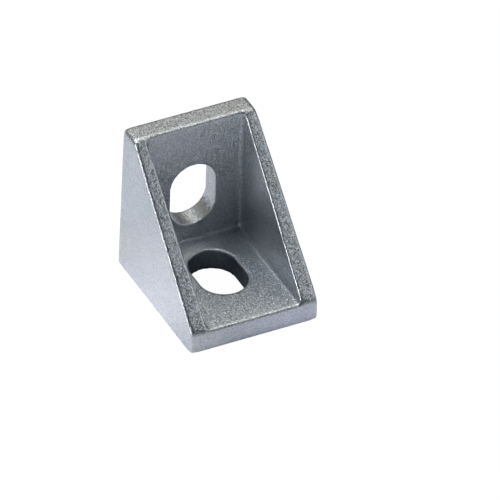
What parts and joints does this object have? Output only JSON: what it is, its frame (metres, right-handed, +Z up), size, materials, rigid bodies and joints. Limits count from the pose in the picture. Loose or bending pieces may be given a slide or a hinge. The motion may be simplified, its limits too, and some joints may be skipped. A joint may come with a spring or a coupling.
{
  "type": "t slot corner bracket",
  "caption": "Cast right-angle bracket with two triangular side walls and an oblong screw slot through each leg, for joining slotted framing profile.",
  "frame": {"origin": "middle of the underside, the face that rests on the first profile", "axes": "+X across the width, +Y towards the back leg and its mounting face, +Z up from the underside; the open side faces -Y and +Z"},
  "size_m": [0.017, 0.02, 0.02],
  "materials": {
    "cast_aluminium": "die-cast and blasted, fine dull grain, uncoated"
  },
  "bodies": {
    "root": {"bracket": "cast_aluminium"}
  },
  "joints": []
}
